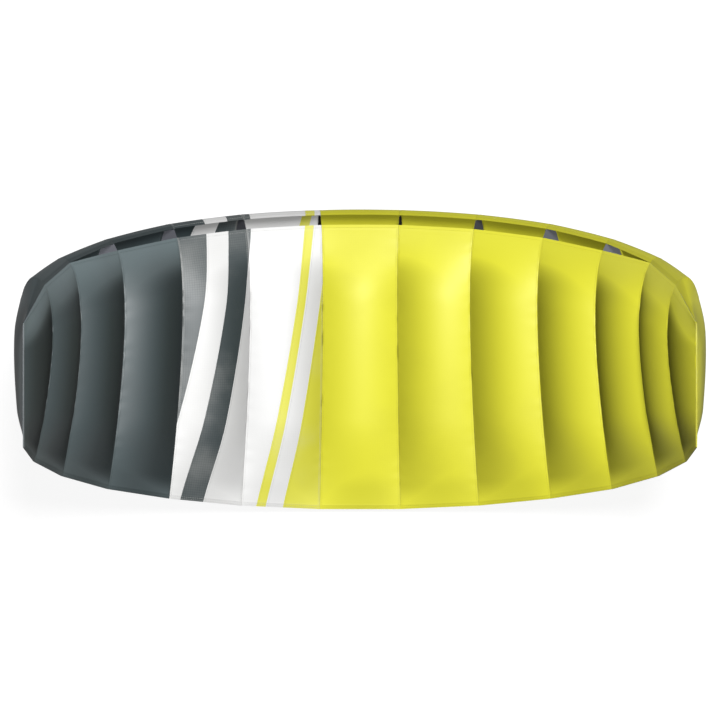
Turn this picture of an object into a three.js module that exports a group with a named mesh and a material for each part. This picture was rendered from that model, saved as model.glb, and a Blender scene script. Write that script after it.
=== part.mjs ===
// A ram-air power kite of thirteen cells, fully inflated and lying on its back.
// Millimetres. +X runs along the span, +Y points to the leading edge and +Z is up.
// The upper skin rests on the surface, the lower skin faces up and the tips curl up.
import * as THREE from 'three';

// Driving dimensions
const CELL_WIDTH = 161.6;
const CENTRE_CHORD = 598;
const CLOTH = 1.2;
const RIB_CLOTH = 1.0;
const GAP = 0.3;
const REST_PITCH = THREE.MathUtils.degToRad(7);
const REST_FLAT_DEPTH = 5.5;

// Section: the usual spread of thickness of a symmetrical aerofoil, 1 at its thickest
const SPREAD_SCALE = 10;
const SPREAD = { root: 0.2969, one: -0.126, two: -0.3516, three: 0.2843, four: -0.1036 };

// Billow of the cloth between two ribs, as a share of the cell's width, and the chord shares over
// which it grows from the front edge and dies away to the tail
const BILLOW = 0.13;
const BILLOW_AT_FRONT = 0.06;
const BILLOW_FRONT_REACH = 0.26;
const BILLOW_TAIL_REACH = 0.3;
const TIP_BILLOW_SHARE = 0.6;

// The rib k cells out: lean is the turn of its plane in degrees, and noseBack and tailAhead are how far its
// ends draw in. The rest are shares of its chord: the front edge of the upper skin, below zero where it
// lies on the underside, the lip of the lower skin, and the half thickness below and above. The intake
// between edge and lip is sewn shut where they meet. The last row is the tip, where the skins are sewn
// together along a thin edge with no rib.
const RIB_ROWS = [
  { k: 0.5, lean: 6.6, noseBack: 0, tailAhead: 0, edge: -0.017, lip: -0.05, below: 0.09, above: 0.09 },
  { k: 1.5, lean: 20, noseBack: 9, tailAhead: 7, edge: -0.017, lip: -0.05, below: 0.09, above: 0.09 },
  { k: 2.5, lean: 33.7, noseBack: 28, tailAhead: 21, edge: -0.017, lip: -0.05, below: 0.09, above: 0.09 },
  { k: 3.5, lean: 47.9, noseBack: 58, tailAhead: 40, edge: -0.0175, lip: -0.046, below: 0.091, above: 0.09 },
  { k: 4.5, lean: 63, noseBack: 95, tailAhead: 66, edge: -0.024, lip: -0.024, below: 0.094, above: 0.09 },
  { k: 5.5, lean: 76.8, noseBack: 134, tailAhead: 95, edge: -0.043, lip: -0.043, below: 0.102, above: 0.088 },
  { k: 6.5, lean: 88, noseBack: 226, tailAhead: 124, edge: 0.0004, lip: -0.0004, below: 0, above: 0 },
];
const TIP = RIB_ROWS.at(-1).k;

// Round ports in the ribs that let the air pass from cell to cell, as shares of the chord
const PORTS = [
  { along: 0.24, radius: 0.05 },
  { along: 0.46, radius: 0.044 },
];
const PORT_SIDES = 10;

// Steps of the sheets along the chord and across a cell
const UPPER_STEPS = 14;
const LOWER_STEPS = 10;
const ACROSS_STEPS = 6;
const RIB_TAIL = 0.985;
const SLOPE_STEP = 1e-3;

const LAST_CELL = TIP - 0.5;
const REST_UP = new THREE.Vector3(0, Math.sin(REST_PITCH), Math.cos(REST_PITCH));
const CHORDWISE = new THREE.Vector3(0, 1, 0);

// Colours of the cloth: the left cells are slate grey, the next two white and the rest yellow.
const LAST_SLATE_CELL = -3;
const LAST_WHITE_CELL = -1;
const CLOTHS = {
  slate: { color: 0x4a5a5c, roughness: 0.55 },
  white: { color: 0xf2f2ef, roughness: 0.5 },
  yellow: { color: 0xe4e545, roughness: 0.5 },
  rib: { color: 0x6f6f69, roughness: 0.7 },
};

function clothMaterial(name) {
  return new THREE.MeshStandardMaterial({ name, metalness: 0, ...CLOTHS[name] });
}

function skinCloth(cell) {
  if (cell <= LAST_SLATE_CELL) return 'slate';
  return cell <= LAST_WHITE_CELL ? 'white' : 'yellow';
}

function sideName(number) {
  if (number === 0) return 'centre';
  return `${number < 0 ? 'left' : 'right'}_${Math.abs(number)}`;
}

function leanAt(k) {
  return THREE.MathUtils.degToRad(RIB_ROWS.find((row) => row.k === k).lean);
}

// Where the chord line of the rib k cells out stands, walking out from the middle cell by cell.
function ribMiddle(k) {
  const middle = new THREE.Vector3(CELL_WIDTH / 2, 0, 0);
  for (let inner = 0.5; inner < k; inner += 1) {
    const tilt = (leanAt(inner) + leanAt(inner + 1)) / 2;
    middle.add(new THREE.Vector3(CELL_WIDTH * Math.cos(tilt), 0, CELL_WIDTH * Math.sin(tilt)));
  }
  return middle;
}

// The rib at station k, counted in cells from the middle of the kite, with the directions of its plane.
function ribAt(k) {
  const out = Math.abs(k);
  const row = RIB_ROWS.find((each) => each.k === out);
  const side = Math.sign(k);
  const lean = side * leanAt(out);
  const middle = ribMiddle(out);
  middle.x *= side;
  return {
    ...row,
    middle,
    nose: CENTRE_CHORD / 2 - row.noseBack,
    chord: CENTRE_CHORD - row.noseBack - row.tailAhead,
    outward: new THREE.Vector3(Math.sin(lean), 0, -Math.cos(lean)),
    spanwise: new THREE.Vector3(Math.cos(lean), 0, Math.sin(lean)),
  };
}

function thicknessSpread(x) {
  return SPREAD_SCALE * (SPREAD.root * Math.sqrt(x) + SPREAD.one * x + SPREAD.two * x ** 2
    + SPREAD.three * x ** 3 + SPREAD.four * x ** 4);
}

// Places on a section are given by a turn: -PI at the tail of the lower skin, 0 at the nose and PI at
// the tail of the upper skin. The points then crowd towards nose and tail, where the section bends.
// A share of the chord stands for a place on the upper skin, or below zero on the lower one.
function turnAt(share) {
  return Math.sign(share) * 2 * Math.asin(Math.sqrt(Math.abs(share)));
}

function chordShare(turn) {
  return Math.sin(turn / 2) ** 2;
}

// A point of a rib's section in the rib's plane: x towards the nose and y towards the upper skin.
function sectionPoint(rib, turn) {
  const x = chordShare(turn);
  const side = turn < 0 ? -1 : 1;
  const half = (turn < 0 ? rib.below : rib.above) * rib.chord * thicknessSpread(x);
  const seamHalf = (CLOTH + GAP / 2) * (rib.k === TIP ? 1 : x);
  return new THREE.Vector2(rib.nose - rib.chord * x, side * (half + seamHalf));
}

// The same point moved into the section, square to its outline.
function insetPoint(rib, turn, inset) {
  const before = sectionPoint(rib, Math.max(turn - SLOPE_STEP, -Math.PI));
  const slope = sectionPoint(rib, Math.min(turn + SLOPE_STEP, Math.PI)).sub(before).normalize();
  return sectionPoint(rib, turn).add(new THREE.Vector2(-slope.y, slope.x).multiplyScalar(inset));
}

// The turn where the front edge of a skin lies; side is 1 above and -1 below. Half a gap is left where
// the two skins meet.
function frontTurn(rib, side) {
  const turn = turnAt(side > 0 ? rib.edge : rib.lip);
  if (rib.edge !== rib.lip) return turn;
  const moved = sectionPoint(rib, turn).distanceTo(sectionPoint(rib, turn + SLOPE_STEP));
  return turn + (side * (GAP / 2) * SLOPE_STEP) / moved;
}

function skinSteps(side) {
  return side > 0 ? UPPER_STEPS : LOWER_STEPS;
}

function smoothShare(share) {
  return THREE.MathUtils.smoothstep(share, 0, 1);
}

// One skin of one cell: a sheet between two ribs, from its front edge to the tail, pushed out by the air.
class SkinPanel {
  constructor(cell, side) {
    this.side = side;
    this.ribs = [ribAt(cell - 0.5), ribAt(cell + 0.5)];
    this.tail = side * Math.PI;
    this.fronts = this.ribs.map((rib) => frontTurn(rib, side));
    this.steps = skinSteps(side);
    this.billowHeight = BILLOW * CELL_WIDTH * (Math.abs(cell) === LAST_CELL ? TIP_BILLOW_SHARE : 1);
    this.restHeight = -Infinity;
  }

  turnsAt(row) {
    return this.fronts.map((front) => THREE.MathUtils.lerp(front, this.tail, row));
  }

  // A point on the straight line across the cell, before the air pushes the cloth out.
  straight(row, share, inset) {
    const turns = this.turnsAt(row);
    const ends = this.ribs.map((rib, i) => {
      const flat = insetPoint(rib, turns[i], inset);
      return rib.middle.clone()
        .addScaledVector(CHORDWISE, flat.x)
        .addScaledVector(rib.outward, flat.y)
        .addScaledVector(rib.spanwise, i === 0 ? GAP / 2 : -GAP / 2);
    });
    return ends[0].lerp(ends[1], share);
  }

  pushDirection(row) {
    const across = this.straight(row, 1, 0).sub(this.straight(row, 0, 0));
    const back = this.straight(Math.max(row - SLOPE_STEP, 0), 0.5, 0);
    const along = this.straight(Math.min(row + SLOPE_STEP, 1), 0.5, 0).sub(back);
    return across.cross(along).multiplyScalar(this.side).normalize();
  }

  // Little billow at the front edge, all of it over the middle of the chord and none at the tail.
  billow(row) {
    const [left, right] = this.turnsAt(row);
    const x = chordShare((left + right) / 2);
    const front = chordShare((this.fronts[0] + this.fronts[1]) / 2);
    const fromFront = this.side > 0 ? x : x - front;
    const grown = smoothShare(fromFront / BILLOW_FRONT_REACH);
    const atFront = THREE.MathUtils.lerp(BILLOW_AT_FRONT, 1, grown);
    return this.billowHeight * atFront * smoothShare((1 - x) / BILLOW_TAIL_REACH);
  }

  point(row, share, inset) {
    const arch = 1 - (2 * share - 1) ** 2;
    const point = this.straight(row, share, inset)
      .addScaledVector(this.pushDirection(row), this.billow(row) * arch);
    const sunk = this.restHeight + inset - point.dot(REST_UP);
    return sunk > 0 ? point.addScaledVector(REST_UP, sunk) : point;
  }

  lowest() {
    const rows = Array.from({ length: this.steps + 1 }, (_, i) => i / this.steps);
    return Math.min(...rows.map((row) => this.point(row, 0.5, 0).dot(REST_UP)));
  }

  // The closed sheet: an outer and an inner grid of points, joined round the four edges.
  geometry() {
    const columns = ACROSS_STEPS + 1;
    const layer = (this.steps + 1) * columns;
    const positions = [];
    for (const inset of [0, CLOTH]) {
      for (let i = 0; i <= this.steps; i += 1) {
        for (let j = 0; j < columns; j += 1) {
          positions.push(...this.point(i / this.steps, j / ACROSS_STEPS, inset).toArray());
        }
      }
    }
    const faces = [];
    const quad = (a, b, c, d) => faces.push(...(this.side > 0 ? [a, d, c, a, c, b] : [a, b, c, a, c, d]));
    const at = (i, j) => i * columns + j;
    for (let i = 0; i < this.steps; i += 1) {
      for (let j = 0; j < ACROSS_STEPS; j += 1) {
        quad(at(i, j), at(i + 1, j), at(i + 1, j + 1), at(i, j + 1));
        quad(layer + at(i, j), layer + at(i, j + 1), layer + at(i + 1, j + 1), layer + at(i + 1, j));
      }
    }
    const wall = (a, b) => quad(a, b, layer + b, layer + a);
    for (let i = 0; i < this.steps; i += 1) {
      wall(at(i + 1, 0), at(i, 0));
      wall(at(i, ACROSS_STEPS), at(i + 1, ACROSS_STEPS));
    }
    for (let j = 0; j < ACROSS_STEPS; j += 1) {
      wall(at(0, j), at(0, j + 1));
      wall(at(this.steps, j + 1), at(this.steps, j));
    }
    const geometry = new THREE.BufferGeometry();
    geometry.setAttribute('position', new THREE.Float32BufferAttribute(positions, 3));
    geometry.setIndex(faces);
    geometry.computeVertexNormals();
    return geometry;
  }
}

function panelMesh(panel, cell) {
  const mesh = new THREE.Mesh(panel.geometry(), clothMaterial(skinCloth(cell)));
  mesh.name = `${panel.side > 0 ? 'upper' : 'lower'}_panel_${sideName(cell)}`;
  return mesh;
}

function portPath(rib, port) {
  const x = rib.nose - rib.chord * port.along;
  const path = new THREE.Path();
  path.absarc(x, 0, rib.chord * port.radius, 0, 2 * Math.PI, true);
  return path;
}

// One side of a rib's outline, from front to tail, with a corner at each row of the skin beside it.
function ribEdge(rib, side) {
  const steps = skinSteps(side);
  const tail = turnAt(RIB_TAIL);
  return Array.from({ length: steps + 1 }, (_, i) => {
    const turn = THREE.MathUtils.lerp(frontTurn(rib, side), side * Math.PI, i / steps);
    return insetPoint(rib, THREE.MathUtils.clamp(turn, -tail, tail), CLOTH + GAP);
  });
}

// A flat rib that fills the section just inside the skins, with its ports.
function ribMesh(k) {
  const rib = ribAt(k);
  const shape = new THREE.Shape([...ribEdge(rib, -1).reverse(), ...ribEdge(rib, 1)]);
  shape.holes.push(...PORTS.map((port) => portPath(rib, port)));
  const geometry = new THREE.ExtrudeGeometry(shape, {
    depth: RIB_CLOTH,
    bevelEnabled: false,
    curveSegments: PORT_SIDES,
  });
  const mesh = new THREE.Mesh(geometry, clothMaterial('rib'));
  mesh.position.copy(rib.middle).addScaledVector(rib.spanwise, RIB_CLOTH / 2);
  mesh.setRotationFromMatrix(new THREE.Matrix4()
    .makeBasis(CHORDWISE, rib.outward, rib.spanwise.clone().negate()));
  mesh.name = `rib_${sideName(Math.sign(k) * Math.ceil(Math.abs(k)))}`;
  return mesh;
}

const kite = new THREE.Group();
kite.rotation.x = REST_PITCH;
const resting = new SkinPanel(0, 1);
resting.restHeight = resting.lowest() + REST_FLAT_DEPTH;
for (let cell = -LAST_CELL; cell <= LAST_CELL; cell += 1) {
  kite.add(panelMesh(cell === 0 ? resting : new SkinPanel(cell, 1), cell));
  kite.add(panelMesh(new SkinPanel(cell, -1), cell));
}
for (let k = 1 - TIP; k < TIP; k += 1) {
  kite.add(ribMesh(k));
}

// The origin lies on the surface, under the middle of the kite.
const grounded = new THREE.Group();
grounded.add(kite);
grounded.updateMatrixWorld(true);
const bounds = new THREE.Box3().setFromObject(grounded, true);
kite.position.set(0, -(bounds.min.y + bounds.max.y) / 2, -resting.restHeight);

export default grounded;
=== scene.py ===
"""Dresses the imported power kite: billowed ripstop skins, ribs, sewing and a plain studio.

The kite lies on its back with the lower skin up, so the camera looks down on it. Metres; +X runs
along the span, +Y points to the leading edge and +Z is up.
"""

import logging
import math
from dataclasses import dataclass, field
from enum import Enum
from typing import NamedTuple

import bpy
import numpy as np
from mathutils import Matrix, Vector
from mathutils.geometry import tessellate_polygon


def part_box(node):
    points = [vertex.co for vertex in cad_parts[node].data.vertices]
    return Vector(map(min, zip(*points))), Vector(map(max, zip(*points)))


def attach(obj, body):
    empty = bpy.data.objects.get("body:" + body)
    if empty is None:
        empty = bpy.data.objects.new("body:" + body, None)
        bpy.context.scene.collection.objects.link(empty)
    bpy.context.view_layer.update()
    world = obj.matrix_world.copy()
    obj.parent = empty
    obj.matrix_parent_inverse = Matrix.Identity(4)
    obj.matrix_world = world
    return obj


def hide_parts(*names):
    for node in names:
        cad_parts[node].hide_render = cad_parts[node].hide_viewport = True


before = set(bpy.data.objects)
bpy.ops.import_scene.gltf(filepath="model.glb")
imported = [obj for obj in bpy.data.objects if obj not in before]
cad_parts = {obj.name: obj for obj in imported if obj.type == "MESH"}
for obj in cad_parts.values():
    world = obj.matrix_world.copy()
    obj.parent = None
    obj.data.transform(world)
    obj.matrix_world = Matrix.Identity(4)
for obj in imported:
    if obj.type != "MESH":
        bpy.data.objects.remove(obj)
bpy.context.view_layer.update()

LOG = logging.getLogger("power_kite")

MM = 0.001
BODY = "root"
SHARP_ANGLE = math.radians(50)

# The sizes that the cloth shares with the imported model
CELL_WIDTH = 161.6 * MM
CENTRE_CHORD = 598 * MM
PITCH = math.radians(7)
CAD_CLOTH = 1.2 * MM
CAD_GAP = 0.3 * MM
BILLOW = 0.13
BILLOW_AT_FRONT = 0.06
FRONT_REACH = 0.26
TAIL_REACH = 0.3
TIP_BILLOW = 0.6
LAST_CELL = 6
TIP = 6.5
CAD_ROWS = {"upper": 14, "lower": 10}
CAD_COLUMNS = 6

# How the cloth is cut and sewn
SKIN_CLOTH = 0.3 * MM
RIB_CLOTH = 0.25 * MM
SEAM_OFF = 0.16 * MM
SEAM_ALLOWANCE = 4.5 * MM
HEM_WIDTH = 8 * MM
HEM_EDGE = 2 * MM
HEM_RISE = 0.3 * MM
FRONT_HEM = 0.9 * MM
BINDING_WIDTH = 9 * MM
BINDING_THICKNESS = 0.9 * MM

# How steeply a hem's rise ends at the seams
HEM_SIDES = 8

# The usual spread of thickness of a symmetrical aerofoil
SPREAD_SCALE = 10
SPREAD = {"root": 0.2969, "one": 0.126, "two": 0.3516, "three": 0.2843, "four": 0.1036}

# The step over which a slope is measured, in turn or in share of the rows
SLOPE_STEP = 1e-3


class RibRow(NamedTuple):
    """A rib station, k cells from the middle.

    lean is the turn of the rib's plane in degrees, and nose and tail are how far its ends draw in, in
    millimetres. The rest are shares of the chord: the front edge of the upper skin and the lip of the
    lower skin, below zero on the underside, and the half thickness below and above.
    """

    k: float
    lean: float
    nose: float
    tail: float
    edge: float
    lip: float
    below: float
    above: float


RIB_ROWS = (
    RibRow(0.5, 6.6, 0, 0, -0.017, -0.05, 0.09, 0.09),
    RibRow(1.5, 20, 9, 7, -0.017, -0.05, 0.09, 0.09),
    RibRow(2.5, 33.7, 28, 21, -0.017, -0.05, 0.09, 0.09),
    RibRow(3.5, 47.9, 58, 40, -0.0175, -0.046, 0.091, 0.09),
    RibRow(4.5, 63, 95, 66, -0.024, -0.024, 0.094, 0.09),
    RibRow(5.5, 76.8, 134, 95, -0.043, -0.043, 0.102, 0.088),
    RibRow(6.5, 88, 226, 124, 0.0004, -0.0004, 0, 0),
)

# The ports of a rib as shares of its chord, and the painted shade of the ribs nearest to the middle
PORTS = ({"along": 0.24, "radius": 0.05}, {"along": 0.46, "radius": 0.044})
RIB_PAINTED_SHADE = {1: 0.75, 2: 0.4}


class Side(Enum):
    """Which skin of the kite a panel belongs to."""

    UPPER = "upper"
    LOWER = "lower"

    @property
    def sign(self) -> int:
        """1 on the upper skin and -1 on the lower one."""
        return 1 if self is Side.UPPER else -1


class Cloth(Enum):
    """The cloths that the kite is sewn from, by the record's material slot."""

    SLATE = "slate_ripstop"
    WHITE = "white_ripstop"
    YELLOW = "yellow_ripstop"
    RIB = "grey_rib_cloth"


def side_name(number: int) -> str:
    """The part of a piece's name that says where it lies along the span.

    Args:
        number: cells from the middle, below zero on the left.

    Returns:
        centre, left_N or right_N.
    """
    if number == 0:
        return "centre"
    return f"{'left' if number < 0 else 'right'}_{abs(number)}"


def smooth(share: np.ndarray) -> np.ndarray:
    """Clips a share to 0 and 1 and eases it."""
    t = np.clip(share, 0, 1)
    return t * t * (3 - 2 * t)


def turn_at(share: float) -> float:
    """The turn of a section, -pi at the lower tail and pi at the upper, at a signed share of its chord."""
    return math.copysign(2 * math.asin(math.sqrt(abs(share))), share)


def thickness(x: np.ndarray) -> np.ndarray:
    """The spread of thickness along a symmetrical aerofoil, 1 at its thickest."""
    return SPREAD_SCALE * (SPREAD["root"] * np.sqrt(x) - SPREAD["one"] * x - SPREAD["two"] * x**2
                           + SPREAD["three"] * x**3 - SPREAD["four"] * x**4)


@dataclass(frozen=True)
class Dust:
    """Where painted shade darkens the skins and a painted highlight pales them, and how much.

    The depths are shares of painted shade. A painted trough of shade lies beside each cell's inner seam,
    where the billow turns from the light, and is deeper and wider in the outer cells. Painted shade also lies
    at each cell's tail, at the outer rim of the tip cell's upper skin and at the upper skin's nose, and the
    lower skin's lip is painted paler. The other places and reaches are shares of the chord, or of the cell at
    the rim.
    """

    centre: float = 0.12
    first: float = 0.22
    step: float = 0.08
    reach: float = 0.62
    reach_step: float = 0.14
    trough_from: float = 0.05
    trough_fade: float = 0.16
    trough_end: float = 0.09
    tail: float = 0.16
    tail_from: float = 0.87
    tail_fade: float = 0.07
    rim: float = 0.35
    rim_fade: float = 0.3
    rim_reach: float = 0.7
    lip: float = 0.65
    lip_reach: float = 0.24
    nose: float = 0.28
    nose_reach: float = 0.12
    above: float = 0.4

    def on(self, side: Side, cell: int, share: np.ndarray, chord_share: np.ndarray) -> np.ndarray:
        """The painted shade on a panel.

        Args:
            side: the panel's skin.
            cell: the panel's cell.
            share: places across the cell.
            chord_share: places along the chord.

        Returns:
            The share of painted shade at each point, below zero where the lip is painted paler as a painted
            highlight.
        """
        from_inner = share if cell >= 0 else 1 - share
        depth = self.first + self.step * abs(cell) if cell else self.centre
        # Painted shade in the trough beside the inner seam, where the billow turns from the light
        trough = depth * (1 - smooth(from_inner / (self.reach + self.reach_step * abs(cell))))
        trough = trough * smooth((chord_share - self.trough_from) / self.trough_fade)
        trough = trough * smooth((1.0 - chord_share) / self.trough_end)
        # Painted shade at the tail, where the cloth turns down to the trailing edge
        patch = self.tail * smooth((chord_share - self.tail_from) / self.tail_fade) * 4 * share * (1 - share)
        whole = np.maximum(trough, patch)
        if side is Side.LOWER:
            # The lower skin's lip is painted paler, a painted highlight
            return whole - self.lip * (1 - smooth(chord_share / self.lip_reach))
        if abs(cell) == LAST_CELL:
            # Painted shade along the tip cell's outer rim, where the upper skin turns away
            rim = smooth((1 - from_inner) / self.rim_fade) * smooth(from_inner / self.rim_reach)
            whole = np.maximum(whole, self.rim / self.above * rim)
        # Painted shade at the upper skin's nose
        front = 1 - smooth(np.abs(chord_share) / self.nose_reach)
        return np.maximum(whole, self.nose / self.above * front) * self.above


@dataclass(frozen=True)
class Rib:
    """The plane and the section of the kite at one rib station."""

    k: float
    lean: float
    nose: float
    chord: float
    row: RibRow
    middle: tuple[float, float, float]

    @classmethod
    def at(cls, k: float) -> "Rib":
        """Works out the rib at a station.

        Args:
            k: cells from the middle, below zero on the left.

        Returns:
            The rib.
        """
        rows = {row.k: row for row in RIB_ROWS}
        row = rows[abs(k)]
        x, z, inner = CELL_WIDTH / 2, 0.0, 0.5
        while inner < row.k:
            tilt = math.radians((rows[inner].lean + rows[inner + 1].lean) / 2)
            x += CELL_WIDTH * math.cos(tilt)
            z += CELL_WIDTH * math.sin(tilt)
            inner += 1
        side = math.copysign(1, k)
        nose = CENTRE_CHORD / 2 - row.nose * MM
        chord = CENTRE_CHORD - (row.nose + row.tail) * MM
        return cls(k, side * math.radians(row.lean), nose, chord, row, (side * x, 0.0, z))

    @property
    def outward(self) -> np.ndarray:
        """The direction from the lower skin to the upper one."""
        return np.array([math.sin(self.lean), 0.0, -math.cos(self.lean)])

    @property
    def spanwise(self) -> np.ndarray:
        """The direction square to the rib, towards the right tip."""
        return np.array([math.cos(self.lean), 0.0, math.sin(self.lean)])

    def section(self, turn: np.ndarray) -> np.ndarray:
        """Points of the section's outline in the rib's plane.

        Args:
            turn: turns round the section.

        Returns:
            An array of (towards the nose, towards the upper skin).
        """
        x = np.sin(turn / 2) ** 2
        sign = np.where(turn < 0, -1.0, 1.0)
        half = np.where(turn < 0, self.row.below, self.row.above) * self.chord * thickness(x)
        seam = (CAD_CLOTH + CAD_GAP / 2) * (np.ones_like(x) if abs(self.k) == TIP else x)
        return np.stack([self.nose - self.chord * x, sign * (half + seam)], axis=-1)

    def inset(self, turn: np.ndarray, depth: np.ndarray) -> np.ndarray:
        """Section points moved into the section, square to its outline.

        Args:
            turn: turns round the section.
            depth: how far each point moves in.

        Returns:
            The points in the rib's plane.
        """
        after = self.section(np.minimum(turn + SLOPE_STEP, math.pi))
        slope = after - self.section(np.maximum(turn - SLOPE_STEP, -math.pi))
        slope /= np.linalg.norm(slope, axis=-1, keepdims=True)
        normal = np.stack([-slope[..., 1], slope[..., 0]], axis=-1)
        return self.section(turn) + normal * np.asarray(depth)[..., None]

    def in_space(self, flat: np.ndarray, shift: np.ndarray) -> np.ndarray:
        """Places points of the rib's plane in the kite.

        Args:
            flat: points in the rib's plane.
            shift: how far each one stands off the plane, towards the right tip.

        Returns:
            Points in the kite's own frame.
        """
        return (np.array(self.middle) + flat[..., :1] * np.array([0.0, 1.0, 0.0])
                + flat[..., 1:] * self.outward + np.asarray(shift)[..., None] * self.spanwise)

    def front(self, side: Side) -> float:
        """The turn where the front edge of a skin lies, half a gap off the other skin where they meet.

        Args:
            side: the skin.

        Returns:
            The turn.
        """
        turn = turn_at(self.row.edge if side is Side.UPPER else self.row.lip)
        if self.row.edge != self.row.lip:
            return turn
        ends = self.section(np.array([turn, turn + SLOPE_STEP]))
        return turn + side.sign * CAD_GAP / 2 * SLOPE_STEP / float(np.linalg.norm(ends[1] - ends[0]))


@dataclass
class Resting:
    """How the kite lies on the floor: pitched nose up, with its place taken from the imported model."""

    offset: np.ndarray = field(default_factory=lambda: np.zeros(3))

    def turned(self, points: np.ndarray) -> np.ndarray:
        """Pitches points of the kite about the span.

        Args:
            points: points in the kite's own frame.

        Returns:
            The pitched points, not yet moved.
        """
        c, s = math.cos(PITCH), math.sin(PITCH)
        x, y, z = points[..., 0], points[..., 1], points[..., 2]
        return np.stack([x, y * c - z * s, y * s + z * c], axis=-1)

    def place(self, points: np.ndarray) -> np.ndarray:
        """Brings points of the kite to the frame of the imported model."""
        return self.turned(points) + self.offset

    def settle(self, panel: "SkinPanel") -> None:
        """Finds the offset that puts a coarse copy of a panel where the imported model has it.

        Args:
            panel: a panel that doesn't touch the floor.
        """
        rows = np.linspace(0, 1, CAD_ROWS[panel.side.value] + 1)
        columns = np.linspace(0, 1, CAD_COLUMNS + 1)
        coarse = [self.turned(panel.points(rows, columns, inset, CAD_GAP / 2)) for inset in (0, CAD_CLOTH)]
        highest = np.max([layer.reshape(-1, 3).max(0) for layer in coarse], axis=0)
        self.offset = np.array(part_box(panel.name)[1]) - highest


@dataclass
class Puckers:
    """The small ripples that sewing draws into the cloth beside a seam."""

    height: float = 0.45 * MM
    start: float = 3 * MM
    reach: float = 13 * MM
    fall: float = 1.5
    length: float = 38 * MM
    wander: float = 1.6
    wander_length: float = 0.097
    wander_phase: float = 2.3
    seam_phase: float = 2.1
    upper_phase: float = 0.7
    fade_front: float = 4 * HEM_WIDTH
    fade_tail: float = 6 * HEM_WIDTH

    def phase(self, seam: int, side: Side) -> float:
        """Sets one seam's ripples apart from the next one's and from the other skin's."""
        return self.seam_phase * seam + (self.upper_phase if side is Side.UPPER else 0.0)

    def rise(self, along: np.ndarray, from_seam: np.ndarray, phase: float) -> np.ndarray:
        """How far the cloth rises at each point.

        Args:
            along: distance along the seam.
            from_seam: distance from it.
            phase: the phase of the seam's ripples.

        Returns:
            The rise, square to the cloth.
        """
        drift = np.sin(2 * math.pi * along / self.wander_length + self.wander_phase * phase)
        wave = 2 * math.pi * along / self.length + phase + self.wander * drift
        return self.height * np.exp(-((from_seam / self.reach) ** self.fall)) * np.sin(wave)


def seam_distances(share: np.ndarray) -> tuple[np.ndarray, np.ndarray]:
    """How far places across a cell lie from its left and its right seam."""
    return share * CELL_WIDTH, (1 - share) * CELL_WIDTH


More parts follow.
